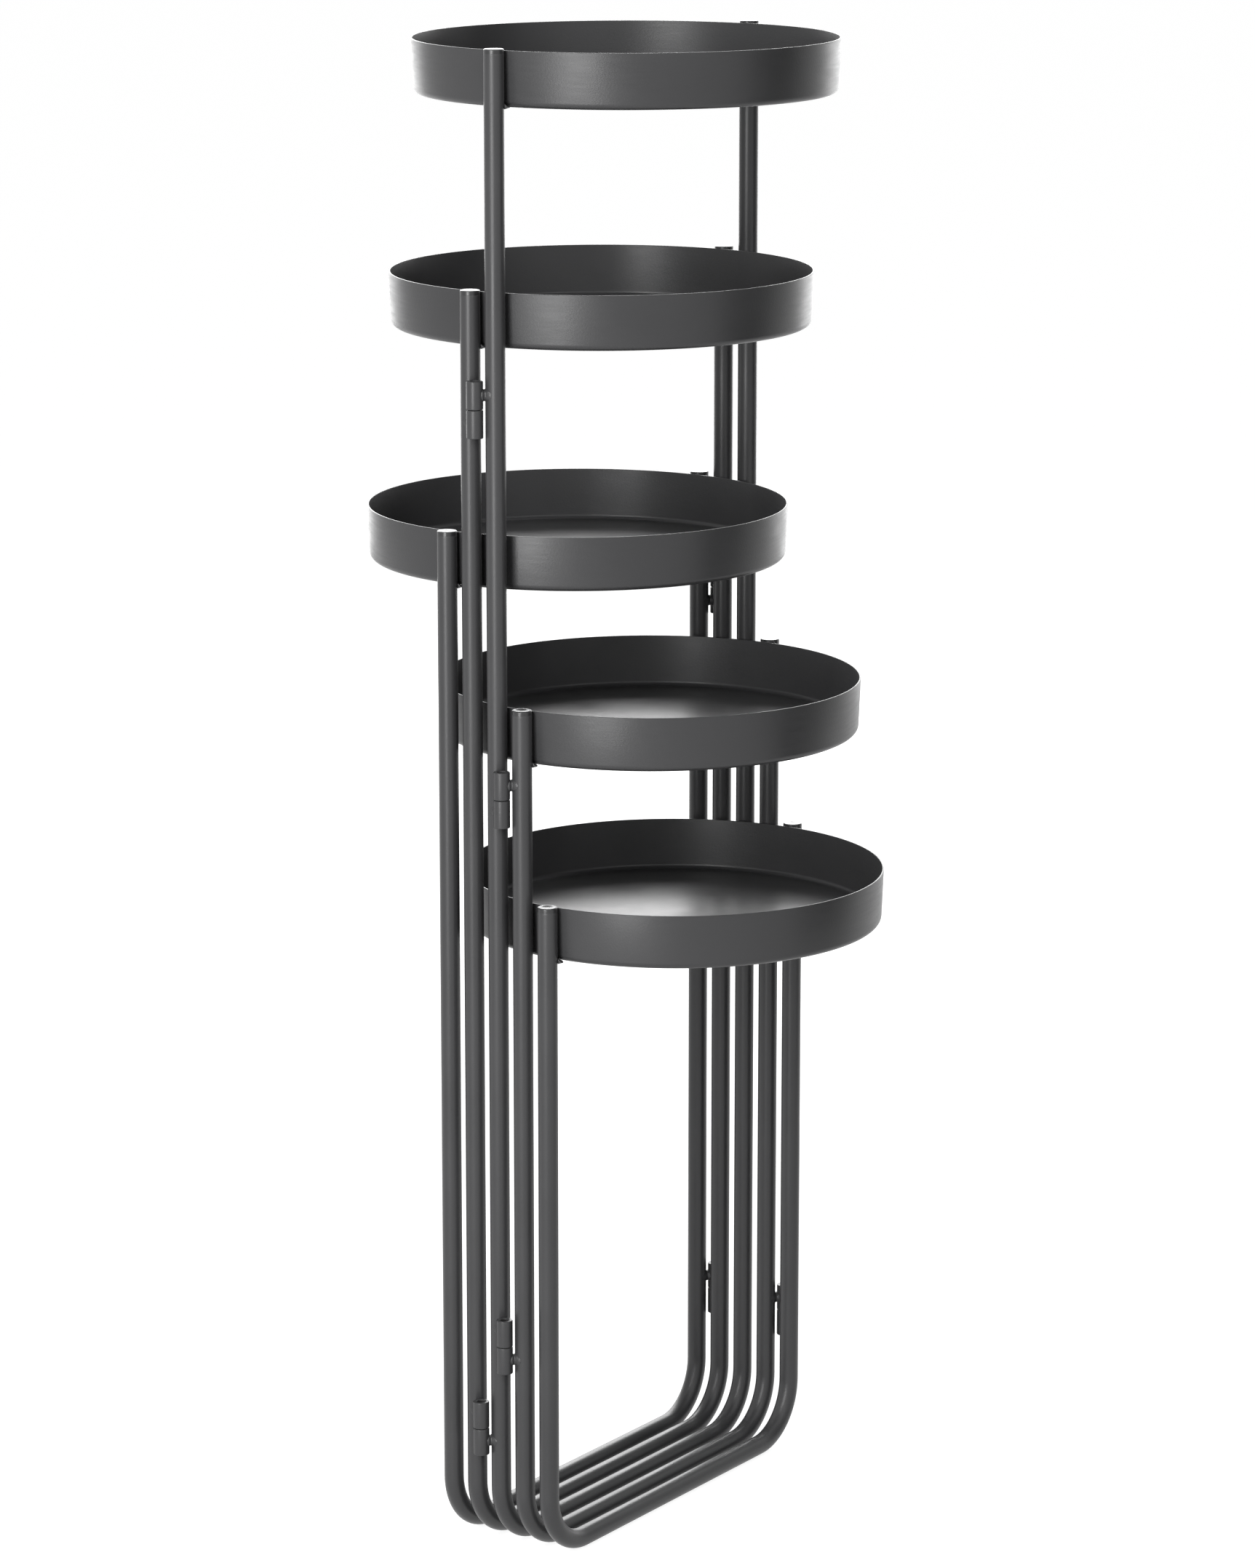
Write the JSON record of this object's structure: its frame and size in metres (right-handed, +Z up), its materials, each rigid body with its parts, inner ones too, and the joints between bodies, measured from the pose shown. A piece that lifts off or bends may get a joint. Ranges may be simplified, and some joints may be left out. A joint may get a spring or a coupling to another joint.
{
  "type": "tiered plant stand",
  "caption": "Folding tiered plant stand: nested U-shaped tube frames on barrel hinges, each with a shallow round tray.",
  "frame": {"origin": "centre of the folded stand on the floor, under the middle frame", "axes": "+Z up, +X across the stack of frames from the outer left frame to the outer right one, +Y from the front uprights to the back uprights"},
  "size_m": [0.33, 0.297, 0.9185],
  "materials": {
    "powder_coated_tube": "satin",
    "powder_coated_sheet": "satin",
    "powder_coated_weld": "satin",
    "black_plastic": "satin",
    "steel_pin": "satin"
  },
  "bodies": {
    "outer_left_frame": {"tube_frame_outer_left": "powder_coated_tube", "tray_outer_left": "powder_coated_sheet", "tray_welds_outer_left": "powder_coated_weld", "hinge_welds_outer_left": "powder_coated_weld", "plug_cap_outer_left_front": "black_plastic", "plug_cap_outer_left_back": "black_plastic", "hinge_left_back_top_lower_knuckle": "powder_coated_tube", "hinge_left_back_top_pin": "steel_pin", "hinge_left_back_foot_upper_knuckle": "powder_coated_tube"},
    "inner_left_frame": {"tube_frame_inner_left": "powder_coated_tube", "tray_inner_left": "powder_coated_sheet", "tray_welds_inner_left": "powder_coated_weld", "hinge_welds_inner_left": "powder_coated_weld", "plug_cap_inner_left_front": "black_plastic", "plug_cap_inner_left_back": "black_plastic", "hinge_left_front_top_lower_knuckle": "powder_coated_tube", "hinge_left_front_top_pin": "steel_pin", "hinge_left_front_foot_upper_knuckle": "powder_coated_tube", "hinge_left_back_top_upper_knuckle": "powder_coated_tube", "hinge_left_back_foot_lower_knuckle": "powder_coated_tube", "hinge_left_back_foot_pin": "steel_pin"},
    "centre_frame": {"tube_frame_centre": "powder_coated_tube", "tray_centre": "powder_coated_sheet", "tray_welds_centre": "powder_coated_weld", "hinge_welds_centre": "powder_coated_weld", "plug_cap_centre_front": "black_plastic", "plug_cap_centre_back": "black_plastic", "hinge_left_front_top_upper_knuckle": "powder_coated_tube", "hinge_left_front_foot_lower_knuckle": "powder_coated_tube", "hinge_left_front_foot_pin": "steel_pin", "hinge_right_front_top_lower_knuckle": "powder_coated_tube", "hinge_right_front_top_pin": "steel_pin", "hinge_right_front_foot_upper_knuckle": "powder_coated_tube"},
    "inner_right_frame": {"tube_frame_inner_right": "powder_coated_tube", "tray_inner_right": "powder_coated_sheet", "tray_welds_inner_right": "powder_coated_weld", "hinge_welds_inner_right": "powder_coated_weld", "plug_cap_inner_right_front": "black_plastic", "plug_cap_inner_right_back": "black_plastic", "hinge_right_front_top_upper_knuckle": "powder_coated_tube", "hinge_right_front_foot_lower_knuckle": "powder_coated_tube", "hinge_right_front_foot_pin": "steel_pin", "hinge_right_back_top_lower_knuckle": "powder_coated_tube", "hinge_right_back_top_pin": "steel_pin", "hinge_right_back_foot_upper_knuckle": "powder_coated_tube"},
    "outer_right_frame": {"tube_frame_outer_right": "powder_coated_tube", "tray_outer_right": "powder_coated_sheet", "tray_welds_outer_right": "powder_coated_weld", "hinge_welds_outer_right": "powder_coated_weld", "plug_cap_outer_right_front": "black_plastic", "plug_cap_outer_right_back": "black_plastic", "hinge_right_back_top_upper_knuckle": "powder_coated_tube", "hinge_right_back_foot_lower_knuckle": "powder_coated_tube", "hinge_right_back_foot_pin": "steel_pin"}
  },
  "joints": [
    {"name": "left_front_fold", "type": "hinge", "parent": "centre_frame", "child": "inner_left_frame", "pos_m": [-0.009, -0.14348, 0.3], "axis": [0, 0, 1], "range_deg": [0, 110]},
    {"name": "left_back_fold", "type": "hinge", "parent": "inner_left_frame", "child": "outer_left_frame", "pos_m": [-0.027, 0.14348, 0.3], "axis": [0, 0, -1], "range_deg": [0, 180]},
    {"name": "right_front_fold", "type": "hinge", "parent": "centre_frame", "child": "inner_right_frame", "pos_m": [0.009, -0.14348, 0.3], "axis": [0, 0, -1], "range_deg": [0, 110]},
    {"name": "right_back_fold", "type": "hinge", "parent": "inner_right_frame", "child": "outer_right_frame", "pos_m": [0.027, 0.14348, 0.3], "axis": [0, 0, 1], "range_deg": [0, 180]}
  ]
}
